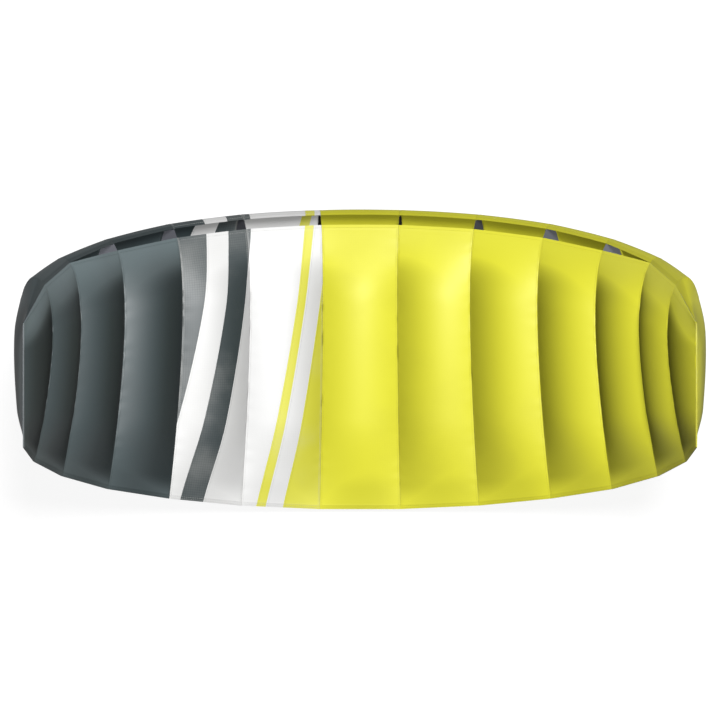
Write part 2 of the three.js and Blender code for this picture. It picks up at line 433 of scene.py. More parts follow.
@dataclass
class SkinPanel:
    """One cell's panel of the upper or lower skin, as billowed cloth between two ribs."""

    cell: int
    side: Side
    rows: int = 104
    columns: int = 32
    thin_from: float = 0.3
    thin_share: float = 0.55
    puckers: Puckers = field(default_factory=Puckers)
    # The painted shade and painted highlight laid into the skins' colour
    dust: Dust = field(default_factory=Dust)

    def __post_init__(self) -> None:
        """Works out the ribs that the panel is sewn to."""
        self.ribs = (Rib.at(self.cell - 0.5), Rib.at(self.cell + 0.5))
        self.fronts = tuple(rib.front(self.side) for rib in self.ribs)

    @property
    def name(self) -> str:
        """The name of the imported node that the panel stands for."""
        return f"{self.side.value}_panel_{side_name(self.cell)}"

    def turns(self, row: np.ndarray) -> tuple[np.ndarray, np.ndarray]:
        """The turn of each row at the left and at the right rib."""
        tail = self.side.sign * math.pi
        return tuple(front + (tail - front) * row for front in self.fronts)

    def straight(self, row: np.ndarray, share: np.ndarray, inset: np.ndarray,
                 shift: np.ndarray) -> np.ndarray:
        """Points on straight lines across the cell, before the air pushes the cloth out.

        Args:
            row: places from the front edge, 0, to the tail, 1.
            share: places across the cell, from 0 to 1.
            inset: how far each point lies inside the section.
            shift: how far the lines' ends stand off the ribs' planes.

        Returns:
            Points in the kite's own frame.
        """
        row, share, inset, shift = np.broadcast_arrays(row, share, inset, shift)
        left, right = (rib.in_space(rib.inset(turn, inset), shift * sign)
                       for rib, turn, sign in zip(self.ribs, self.turns(row), (1, -1)))
        return left + (right - left) * share[..., None]

    def push(self, row: np.ndarray) -> np.ndarray:
        """The direction in which the air pushes each row.

        Args:
            row: places from the front edge to the tail.

        Returns:
            Unit vectors.
        """
        shift = CAD_GAP / 2
        across = self.straight(row, 1.0, 0.0, shift) - self.straight(row, 0.0, 0.0, shift)
        along = (self.straight(np.minimum(row + SLOPE_STEP, 1), 0.5, 0.0, shift)
                 - self.straight(np.maximum(row - SLOPE_STEP, 0), 0.5, 0.0, shift))
        out = np.cross(across, along) * self.side.sign
        return out / np.linalg.norm(out, axis=-1, keepdims=True)

    def billow(self, row: np.ndarray) -> np.ndarray:
        """The height of the billow over the middle of each row.

        Args:
            row: places from the front edge to the tail.

        Returns:
            The heights.
        """
        left, right = self.turns(row)
        x = np.sin((left + right) / 4) ** 2
        front = math.sin((self.fronts[0] + self.fronts[1]) / 4) ** 2
        from_front = x if self.side is Side.UPPER else x - front
        grown = BILLOW_AT_FRONT + (1 - BILLOW_AT_FRONT) * smooth(from_front / FRONT_REACH)
        full = BILLOW * CELL_WIDTH * (TIP_BILLOW if abs(self.cell) == LAST_CELL else 1)
        return full * grown * smooth((1 - x) / TAIL_REACH)

    def points(self, row: np.ndarray, share: np.ndarray, inset: np.ndarray, shift: np.ndarray,
               extra: np.ndarray | float = 0.0) -> np.ndarray:
        """Points of the billowed panel.

        Args:
            row: places from the front edge to the tail.
            share: places across the cell.
            inset: how far inside the section, for each place across or for all.
            shift: how far off the ribs' planes, for each place across or for all.
            extra: a further rise for each point.

        Returns:
            A grid of points in the kite's own frame.
        """
        base = self.straight(row[:, None], share[None, :], np.atleast_2d(inset), np.atleast_2d(shift))
        arch = 1 - (2 * share - 1) ** 2
        height = self.billow(row)[:, None] * arch[None, :] + extra
        return base + self.push(row)[:, None, :] * height[..., None]

    def lengths(self, row: np.ndarray) -> np.ndarray:
        """Measures along the middle of the panel.

        Args:
            row: places from the front edge to the tail.

        Returns:
            The distance from the front edge to each row.
        """
        line = self.points(row, np.array([0.5]), 0.0, CAD_GAP / 2)[:, 0]
        steps = np.linalg.norm(np.diff(line, axis=0), axis=1)
        return np.concatenate([[0.0], np.cumsum(steps)])

    def row_places(self) -> np.ndarray:
        """Sets out the rows of the fine grid.

        Returns:
            Places from the front edge to the tail, with the edges of the hems among them.
        """
        row = np.linspace(0, 1, self.rows + 1)
        along = self.lengths(row)
        edges = np.array([HEM_WIDTH - HEM_EDGE / 2, HEM_WIDTH, HEM_WIDTH + HEM_EDGE])
        marks = np.interp(np.concatenate([edges, along[-1] - edges]), along, row)
        return np.unique(np.concatenate([row, marks]).round(6))

    def measured(self, row: np.ndarray) -> tuple[np.ndarray, float]:
        """Measures rows against one even set, so that every grid agrees.

        Args:
            row: places from the front edge to the tail.

        Returns:
            The distance from the front edge to each row, and the panel's whole length.
        """
        whole = np.linspace(0, 1, 2 * self.rows + 1)
        lengths = self.lengths(whole)
        return np.interp(row, whole, lengths), float(lengths[-1])

    def hems(self, row: np.ndarray) -> tuple[np.ndarray, np.ndarray]:
        """Finds the hems.

        Args:
            row: places from the front edge to the tail.

        Returns:
            The share of the front hem and of the tail's hem at each row.
        """
        along, total = self.measured(row)
        front = 1 - smooth((along - HEM_WIDTH) / HEM_EDGE)
        tail = 1 - smooth((total - along - HEM_WIDTH) / HEM_EDGE)
        return front, tail

    def relief(self, row: np.ndarray, share: np.ndarray) -> np.ndarray:
        """The puckers beside the seams and the doubled cloth of the hems.

        Args:
            row: places from the front edge to the tail.
            share: places across the cell.

        Returns:
            The rise of each point of the grid.
        """
        along, total = self.measured(row)
        fade = smooth(along / self.puckers.fade_front) * smooth((total - along) / self.puckers.fade_tail)
        rise = np.zeros((len(row), len(share)))
        for number, from_seam in enumerate(seam_distances(share)):
            phase = self.puckers.phase(self.cell + number, self.side)
            off_seam = smooth(from_seam / self.puckers.start)
            rise += self.puckers.rise(along[:, None], from_seam[None, :], phase) * off_seam[None, :]
        inside = smooth(HEM_SIDES * (1 - (2 * share - 1) ** 2))
        return rise * fade[:, None] + HEM_RISE * np.maximum(*self.hems(row))[:, None] * inside[None, :]

    def wall(self, row: np.ndarray, share: np.ndarray) -> np.ndarray:
        """The thickness of the cloth, with its hems and its sewn tip.

        Args:
            row: places from the front edge to the tail.
            share: places across the cell.

        Returns:
            The thickness at each point of the grid.
        """
        front, tail = self.hems(row)
        full = CAD_CLOTH - SKIN_CLOTH
        extra = np.maximum(full * tail, (FRONT_HEM - SKIN_CLOTH) * front)[:, None]
        grid = np.broadcast_to(extra, (len(row), len(share)))
        for rib, from_seam in zip(self.ribs, seam_distances(share)):
            if abs(rib.k) == TIP:
                grid = np.maximum(grid, full * (1 - smooth((from_seam - HEM_WIDTH) / HEM_EDGE))[None, :])
        return SKIN_CLOTH + grid

    def allowance(self, row: np.ndarray, rib: Rib, turn: np.ndarray) -> np.ndarray:
        """How far the seam allowance reaches into the kite at each row.

        Args:
            row: places from the front edge to the tail.
            rib: the rib that the seam follows.
            turn: the rows' turns round its section.

        Returns:
            The reach at each row, less where the section is thin.
        """
        half = np.abs(rib.section(turn)[..., 1])
        room = np.where(np.sin(turn / 2) ** 2 > self.thin_from, self.thin_share * half, SEAM_ALLOWANCE)
        return np.maximum(np.minimum(SEAM_ALLOWANCE, room), self.wall(row, np.array([0.5]))[:, 0])

    def build(self, resting: Resting) -> bpy.types.Object:
        """Makes the panel as closed cloth with turned-in seam allowances.

        Args:
            resting: places the kite on the floor.

        Returns:
            The panel's object.
        """
        row = self.row_places()
        even = np.linspace(0, 1, self.columns + 1)
        main = (even + (1 - np.cos(math.pi * even)) / 2) / 2
        sewn = [abs(rib.k) != TIP for rib in self.ribs]
        share = np.concatenate([[0.0] * sewn[0], main, [1.0] * sewn[1]])
        drop = np.zeros((len(row), len(share)))
        wall = self.wall(row, share)
        fold = np.zeros(len(share))
        for number, (rib, turn) in enumerate(zip(self.ribs, self.turns(row))):
            if sewn[number]:
                column = 0 if number == 0 else -1
                drop[:, column] = self.allowance(row, rib, turn)
                wall[:, column] = 0.0
                fold[[0, 1] if number == 0 else [-2, -1]] = SKIN_CLOTH
        rise = self.relief(row, share)
        outer = self.points(row, share, drop, SEAM_OFF, rise)
        inner = self.points(row, share, drop + wall, SEAM_OFF + fold, rise)
        outer, inner = resting.place(outer), resting.place(inner)
        outer[..., 2] = np.maximum(outer[..., 2], 0)
        inner[..., 2] = np.maximum(inner[..., 2], SKIN_CLOTH)
        along = self.lengths(row)
        turned = np.zeros(len(share))
        turned[0] -= SEAM_ALLOWANCE * sewn[0]
        turned[-1] += SEAM_ALLOWANCE * sewn[1]
        left, right = self.turns(row)
        chord_share = np.sin((left[:, None] * (1 - share) + right[:, None] * share) / 2) ** 2
        station = np.broadcast_to(self.cell - 0.5 + share, chord_share.shape)
        across = np.broadcast_to(share * CELL_WIDTH + turned, chord_share.shape)
        down = np.broadcast_to(along[:, None], chord_share.shape)
        hem = np.broadcast_to(np.maximum(*self.hems(row))[:, None], chord_share.shape)
        # The third map holds the painted shade and the hems
        maps = {
            "Weave": np.stack([across, down], -1),
            "Cut": np.stack([station, chord_share], -1),
            "Worn": np.stack([self.dust.on(self.side, self.cell, share[None, :], chord_share), hem], -1),
        }
        return shell(f"{self.side.value}_skin_{side_name(self.cell)}", outer, inner, maps)

    def cut_size(self) -> tuple[float, float, float]:
        """The panel's flat width, length and area before it is sewn.

        Returns:
            Width and length of the cut and its area.
        """
        row = np.linspace(0, 1, self.rows + 1)
        share = np.linspace(0, 1, self.columns + 1)
        grid = self.points(row, share, 0.0, SEAM_OFF)
        widths = np.linalg.norm(np.diff(grid, axis=1), axis=2).sum(1)
        lengths = np.linalg.norm(np.diff(grid, axis=0), axis=2).sum(0)
        down = np.diff(grid, axis=0)[:, :-1]
        over = np.diff(grid, axis=1)[:-1]
        area = float(np.linalg.norm(np.cross(down, over), axis=2).sum())
        width, length = float(widths.max()), float(lengths.max())
        return width, length, min(area, width * length)


def shell(name: str, outer: np.ndarray, inner: np.ndarray, maps: dict[str, np.ndarray]) -> bpy.types.Object:
    """Closes two grids of points into one sheet.

    Args:
        name: name of the new object.
        outer: grid of the outer face.
        inner: grid of the inner face.
        maps: UV values for each grid point, by UV map name.

    Returns:
        The new object, linked to the scene.
    """
    rows, columns = outer.shape[:2]
    index = np.arange(rows * columns).reshape(rows, columns)
    a, b, c, d = index[:-1, :-1], index[1:, :-1], index[1:, 1:], index[:-1, 1:]
    top = np.stack([a, d, c, b], -1).reshape(-1, 4)
    bottom = np.stack([a, b, c, d], -1).reshape(-1, 4) + rows * columns
    rim = np.concatenate([index[0, :-1], index[:-1, -1], index[-1, :0:-1], index[:0:-1, 0]])
    following = np.roll(rim, -1)
    wall = np.stack([following, rim, rim + rows * columns, following + rows * columns], -1)
    faces = np.concatenate([top, bottom, wall]).tolist()
    points = np.concatenate([outer.reshape(-1, 3), inner.reshape(-1, 3)])
    values = {map_name: np.tile(grid.reshape(-1, 2), (2, 1)) for map_name, grid in maps.items()}
    return solid_piece(name, points, faces, values)


Colour = tuple[float, float, float, float]
Socket = bpy.types.NodeSocket
Tree = bpy.types.NodeTree
Value = Socket | float | tuple
Feeds = dict[str | int, Value]


def linear(red: int, green: int, blue: int) -> Colour:
    """Turns a colour of the screen, each part from 0 to 255, into linear light with an alpha of 1."""
    shares = (value / 255 for value in (red, green, blue))
    return (*((s / 12.92 if s <= 0.04045 else ((s + 0.055) / 1.055) ** 2.4) for s in shares), 1.0)


def grey(level: float) -> Colour:
    """A grey of linear light."""
    return (level, level, level, 1.0)


class Bench:
    """Places nodes in one tree and joins them."""

    def __init__(self, tree: Tree) -> None:
        """Takes the tree to work in."""
        self.tree = tree

    def node(self, kind: str, feeds: Feeds | None = None, **settings: object) -> bpy.types.Node:
        """Adds a node.

        Args:
            kind: the node's type.
            feeds: what its inputs get, by name or number.
            settings: its properties.

        Returns:
            The node.
        """
        made = self.tree.nodes.new(kind)
        for name, value in settings.items():
            setattr(made, name, value)
        self.feed(made, feeds or {})
        return made

    def add(self, kind: str, feeds: Feeds | None = None, output: str | int = 0, **settings: object) -> Socket:
        """Adds a node and gives one of its outputs."""
        return self.node(kind, feeds, **settings).outputs[output]

    def feed(self, node: bpy.types.Node, feeds: Feeds) -> None:
        """Links a node's inputs, or sets those that get a plain value.

        Args:
            node: the node.
            feeds: what its inputs get, by name or number.
        """
        for key, value in feeds.items():
            if isinstance(value, Socket):
                self.tree.links.new(value, node.inputs[key])
            else:
                node.inputs[key].default_value = value

    def uv(self, name: str) -> Socket:
        """A UV map of the piece."""
        return self.add("ShaderNodeUVMap", uv_map=name)

    def split(self, vector: Value) -> bpy.types.bpy_prop_collection:
        """The parts of a vector."""
        return self.node("ShaderNodeSeparateXYZ", {0: vector}).outputs

    def math(self, operation: str, *values: Value, clamp: bool = False) -> Socket:
        """Adds a Math node, with its output held between 0 and 1 where it is clamped."""
        return self.add("ShaderNodeMath", dict(enumerate(values)), operation=operation, use_clamp=clamp)

    def ease(self, value: Value, low: Value, high: Value, start: float = 0.0, end: float = 1.0) -> Socket:
        """Eases a value from the range of low to high to that of start to end."""
        feeds = dict(enumerate((value, low, high, start, end)))
        return self.add("ShaderNodeMapRange", feeds, interpolation_type="SMOOTHSTEP")

    def blend(self, share: Value, first: Value, second: Value, kind: str = "MIX") -> Socket:
        """Mixes a share of the second colour into the first."""
        feeds = {0: share, 6: first, 7: second}
        return self.add("ShaderNodeMix", feeds, 2, data_type="RGBA", blend_type=kind)

    def group(self, tree: Tree, feeds: Feeds) -> bpy.types.bpy_prop_collection:
        """Places a shared shader group and gives its outputs."""
        return self.node("ShaderNodeGroup", feeds, node_tree=tree).outputs


def new_material(name: str) -> tuple[bpy.types.Material, Bench, bpy.types.Node]:
    """Starts a material.

    Args:
        name: its name.

    Returns:
        The material, a bench on its tree and its shader.
    """
    material = bpy.data.materials.new(name)
    material.use_nodes = True
    return material, Bench(material.node_tree), material.node_tree.nodes["Principled BSDF"]


def in_scene(name: str, data: bpy.types.ID) -> bpy.types.Object:
    """Makes an object and links it to the scene.

    Args:
        name: its name.
        data: its mesh, light or camera.

    Returns:
        The object.
    """
    made = bpy.data.objects.new(name, data)
    bpy.context.scene.collection.objects.link(made)
    return made


def new_tree(name: str, kind: str, inputs: dict[str, float | str],
             outputs: tuple[str, ...]) -> tuple[Bench, bpy.types.bpy_prop_collection, bpy.types.Node]:
    """Starts a node group with named sockets.

    Args:
        name: the group's name.
        kind: Shader or Geometry.
        inputs: a number's default, or the type of another socket, by name.
        outputs: names of the values or shapes that it makes.

    Returns:
        A bench on the tree, its inputs and its output node.
    """
    tree = bpy.data.node_groups.new(name, f"{kind}NodeTree")
    for label, given in inputs.items():
        is_number = isinstance(given, float)
        kind_in = "Float" if is_number else given
        socket = tree.interface.new_socket(label, in_out="INPUT", socket_type=f"NodeSocket{kind_in}")
        if is_number:
            socket.default_value = given
    kind_out = "Float" if kind == "Shader" else "Geometry"
    for label in outputs:
        tree.interface.new_socket(label, in_out="OUTPUT", socket_type=f"NodeSocket{kind_out}")
    bench = Bench(tree)
    return bench, bench.node("NodeGroupInput").outputs, bench.node("NodeGroupOutput")


# The height of the plain weave beside the strong threads, and where the noise turns into dust
PLAIN_WEAVE = 0.12
DUST_NOISE = (0.42, 0.72)

# What the masks of dust, seams, threads and hems count for in a cloth's soil, shade and roughness, and how
# far painted shade cuts its gloss
DUST_SOIL = 0.25
SEAM_SOIL = 0.25
THREAD_SOIL = 0.12
HEM_SHADE = 0.08
PAINTED_SHADE_GLOSS = 1.25
DUST_ROUGHNESS = 0.08
THREAD_ROUGHNESS = 0.04

# The share of the painted highlight's colour where no painted shade lies, how far cloth seen by way of other
# cloth is dulled, and the colours that painted shade and dulling multiply in
PAINTED_HIGHLIGHT_SHARE = 0.35
BOUNCE = 0.95
PAINTED_SHADE_TINT = (0.04, 0.04, 0.05, 1.0)
DULL = grey(0.12)


class ClothEffects:
    """The shader groups that the cloths share."""

    def __init__(self) -> None:
        """Builds each group once."""
        self.ripstop = self.ripstop_tree()
        self.handling = self.handling_tree()
        self.seams = self.seam_tree()

    def ripstop_tree(self) -> Tree:
        """The square grid of strong threads in a fine plain weave.

        Returns:
            The group, with Threads, a mask of the strong threads, and Height.
        """
        bench, given, out = new_tree("Ripstop", "Shader", {
            "Cloth": "Vector", "Square": 0.005, "Cord": 0.0005, "Weave": 0.0007}, ("Threads", "Height"))
        parts = bench.split(given["Cloth"])
        lines, waves = [], []
        for place in (parts[0], parts[1]):
            squares = bench.math("DIVIDE", place, given["Square"])
            away = bench.math("MULTIPLY", bench.math("PINGPONG", squares, 0.5), given["Square"])
            lines.append(bench.ease(away, 0.0, given["Cord"], 1.0, 0.0))
            turns = bench.math("DIVIDE", place, given["Weave"])
            waves.append(bench.math("SINE", bench.math("MULTIPLY", turns, 2 * math.pi)))
        threads = bench.math("MAXIMUM", *lines)
        height = bench.math("MULTIPLY_ADD", bench.math("MULTIPLY", *waves), PLAIN_WEAVE, threads)
        bench.feed(out, {"Threads": threads, "Height": height})
        return bench.tree

    def handling_tree(self) -> Tree:
        """Soft creases from packing and the faint dust of use.

        Returns:
            The group, with Crease, a height, and Dust, a mask.
        """
        bench, given, out = new_tree("Handling", "Shader", {
            "Place": "Vector", "Crease scale": 16.0, "Dust scale": 5.0}, ("Crease", "Dust"))
        noises = []
        for kind, scale, detail in (("RIDGED_MULTIFRACTAL", "Crease scale", 1.0), ("FBM", "Dust scale", 5.0)):
            feeds = {"Vector": given["Place"], "Scale": given[scale], "Detail": detail}
            noises.append(bench.add("ShaderNodeTexNoise", feeds, noise_type=kind))
        bench.feed(out, {"Crease": noises[0], "Dust": bench.ease(noises[1], *DUST_NOISE)})
        return bench.tree

    def seam_tree(self) -> Tree:
        """The line of pressed and slightly soiled cloth along each rib seam.

        Returns:
            The group, with Line, a mask.
        """
        bench, given, out = new_tree("Seam line", "Shader", {"Cut": "Vector", "Reach": 0.02}, ("Line",))
        half = bench.math("ADD", bench.split(given["Cut"])[0], 0.5)
        away = bench.math("PINGPONG", half, 0.5)
        bench.feed(out, {"Line": bench.ease(away, 0.0, given["Reach"], 1.0, 0.0)})
        return bench.tree


@dataclass(frozen=True)
class Finish:
    """A cloth's finish: its colour, gloss and the depth of its weave."""

    cloth: Cloth
    colour: Colour
    soiled: Colour
    roughness: float = 0.5
    specular: float = 0.5
    ior: float = 1.5
    # How much painted shade darkens the cloth
    painted_shade_share: float = 1.0
    # The colour of the cloth's painted highlight
    painted_highlight: Colour | None = None
    weave_depth: float = 0.03 * MM
    crease_depth: float = 0.2 * MM

    def colours(self, bench: Bench, cut: Socket) -> tuple[Value, Value]:
        """The cloth's own colour, and the height of the laps in it."""
        return self.colour, 0.0

    def make(self, effects: ClothEffects) -> bpy.types.Material:
        """Makes the material.

        Args:
            effects: the shared shader groups.

        Returns:
            The material.
        """
        material, bench, shader = new_material(f"{self.cloth.value}_cloth")
        cut = bench.uv("Cut")
        place = bench.add("ShaderNodeTexCoord", output="Object")
        ripstop = bench.group(effects.ripstop, {"Cloth": bench.uv("Weave")})
        handling = bench.group(effects.handling, {"Place": place})
        line = bench.group(effects.seams, {"Cut": cut})["Line"]
        colour, laps = self.colours(bench, cut)
        soil = bench.math("MULTIPLY", line, SEAM_SOIL)
        soil = bench.math("MULTIPLY_ADD", handling["Dust"], DUST_SOIL, soil)
        soil = bench.math("SUBTRACT", soil, bench.math("MULTIPLY", ripstop["Threads"], THREAD_SOIL))
        # The map's painted shade, below zero at the lip's painted highlight, and a little shade at the hems
        painted_shade_and_hem = bench.split(bench.uv("Worn"))
        shade = bench.math("MULTIPLY_ADD", painted_shade_and_hem[1], HEM_SHADE, bench.math("MULTIPLY", painted_shade_and_hem[0], self.painted_shade_share))
        # Painted highlight: a paler slate screened in where no painted shade lies, most at the lip
        if self.painted_highlight is not None:
            crown = bench.math("SUBTRACT", PAINTED_HIGHLIGHT_SHARE, shade, clamp=True)
            colour = bench.blend(crown, colour, self.painted_highlight, "SCREEN")
        colour = bench.blend(bench.math("MAXIMUM", soil, 0.0), colour, self.soiled)
        # The painted shade multiplied into the colour
        colour = bench.blend(shade, colour, PAINTED_SHADE_TINT, "MULTIPLY")
        path = bench.node("ShaderNodeLightPath").outputs
        bounce = bench.math("MAXIMUM", path["Is Diffuse Ray"], path["Is Glossy Ray"])
        bounce = bench.math("MULTIPLY", bounce, BOUNCE)
        rough = bench.math("MULTIPLY_ADD", handling["Dust"], DUST_ROUGHNESS, self.roughness)
        height = bench.math("MULTIPLY", ripstop["Height"], self.weave_depth)
        height = bench.math("MULTIPLY_ADD", handling["Crease"], self.crease_depth, height)
        height = bench.math("ADD", height, laps)
        # The gloss falls where painted shade lies and rises at the painted pale lip
        gloss = bench.math("MULTIPLY_ADD", shade, -PAINTED_SHADE_GLOSS * self.specular, self.specular, clamp=True)
        bench.feed(shader, {
            "Base Color": bench.blend(bounce, colour, DULL, "MULTIPLY"),
            "Roughness": bench.math("MULTIPLY_ADD", ripstop["Threads"], THREAD_ROUGHNESS, rough),
            "Specular IOR Level": gloss,
            "IOR": self.ior,
            "Normal": bench.add("ShaderNodeBump", {"Strength": 1.0, "Distance": 1.0, "Height": height}),
        })
        return material


@dataclass(frozen=True)
class BandedFinish(Finish):
    """White cloth with straight slanted bands of the two neighbouring colours let into it."""

    slate: Colour = (0, 0, 0, 1)
    yellow: Colour = (0, 0, 0, 1)
    slant: float = 0.62
    turn_about: float = 0.5
    lap: float = 0.012
    lap_flat: float = 0.8
    lap_depth: float = 0.35 * MM
    slate_to_white: tuple[float, ...] = (-2.36, -1.72)
    white_to_slate: tuple[float, ...] = (-2.04,)
    white_to_yellow: tuple[float, ...] = (-1.0, -0.66)
    yellow_to_white: tuple[float, ...] = (-0.88,)

    def colours(self, bench: Bench, cut: Socket) -> tuple[Value, Value]:
        """The colours of the bands.

        Args:
            bench: where the material is made.
            cut: the piece's place in the kite's cut.

        Returns:
            The colour and the height of the laps between the bands.
        """
        parts = bench.split(cut)
        lean = bench.math("MULTIPLY", bench.math("SUBTRACT", parts[1], self.turn_about), self.slant)
        place = bench.math("ADD", parts[0], lean)
        steps = [(edge, self.colour) for edge in self.slate_to_white + self.yellow_to_white]
        steps += [(edge, self.slate) for edge in self.white_to_slate]
        steps += [(edge, self.yellow) for edge in self.white_to_yellow]
        colour, laps = self.slate, 0.0
        for edge, following in sorted(steps):
            colour = bench.blend(bench.math("GREATER_THAN", place, edge), colour, following)
            away = bench.math("ABSOLUTE", bench.math("SUBTRACT", place, edge + self.lap))
            raised = bench.ease(away, self.lap * self.lap_flat, self.lap, self.lap_depth, 0.0)
            laps = bench.math("ADD", raised, laps)
        return colour, laps


@dataclass(frozen=True)
class ThreadFinish:
    """Sewing thread of one colour, with the twist of its strands."""

    name: str
    colour: Colour
    strands: float = 900.0
    between: float = 0.7
    roughness: float = 0.62

    def make(self) -> bpy.types.Material:
        """Makes the material.

        Returns:
            The material.
        """
        material, bench, shader = new_material(self.name)
        place = bench.add("ShaderNodeTexCoord", output="Object")
        twist = bench.add("ShaderNodeTexWave", {"Vector": place, "Scale": self.strands}, "Fac",
                          wave_type="BANDS", bands_direction="DIAGONAL")
        shade = tuple(self.between * value for value in self.colour[:3]) + (1.0,)
        colour = bench.blend(twist, shade, self.colour)
        bench.feed(shader, {"Base Color": colour, "Roughness": self.roughness})
        return material


# The cloths' own colours, the slate's painted highlight, and what each turns to where it is soiled
PAINTED_HIGHLIGHT_SLATE = linear(97, 110, 113)
SLATE = linear(50, 64, 67)
WHITE = linear(243, 243, 242)
YELLOW = linear(236, 233, 58)
SOIL_SLATE = linear(44, 53, 54)
SOIL_WHITE = linear(212, 211, 206)
SOIL_YELLOW = linear(206, 200, 50)
RIB_GREY = linear(122, 124, 132)
SOIL_RIB = linear(86, 86, 84)

# The first cell of the white cloth and of the yellow cloth, from the left
FIRST_WHITE = -2
FIRST_YELLOW = 0


class Wardrobe:
    """All the finishes of the kite."""

    def __init__(self) -> None:
        """Makes the materials."""
        effects = ClothEffects()
        # The slate takes the full painted shade and a painted highlight; the banded cloth takes less painted
        # shade
        self.slate = Finish(Cloth.SLATE, SLATE, SOIL_SLATE, roughness=0.56, specular=1.0, ior=1.7,
                            painted_shade_share=1.0, painted_highlight=PAINTED_HIGHLIGHT_SLATE).make(effects)
        self.yellow = Finish(Cloth.YELLOW, YELLOW, SOIL_YELLOW).make(effects)
        self.banded = BandedFinish(Cloth.WHITE, WHITE, SOIL_WHITE, roughness=0.56, specular=1.0, ior=1.7,
                                   painted_shade_share=0.7, slate=SLATE, yellow=YELLOW).make(effects)
        self.rib = Finish(Cloth.RIB, RIB_GREY, SOIL_RIB, roughness=0.7, specular=0.3).make(effects)
        self.threads = {
            Cloth.SLATE: ThreadFinish("slate_thread", linear(60, 72, 73)).make(),
            Cloth.WHITE: ThreadFinish("white_thread", linear(225, 225, 222)).make(),
            Cloth.YELLOW: ThreadFinish("yellow_thread", linear(214, 206, 60)).make(),
        }

    def cloth_of(self, cell: int) -> tuple[Cloth, bpy.types.Material]:
        """The cloth of a cell's skins.

        Args:
            cell: the cell's number.

        Returns:
            The cloth and its material.
        """
        if cell < FIRST_WHITE:
            return Cloth.SLATE, self.slate
        if cell < FIRST_YELLOW:
            return Cloth.WHITE, self.banded
        return Cloth.YELLOW, self.yellow


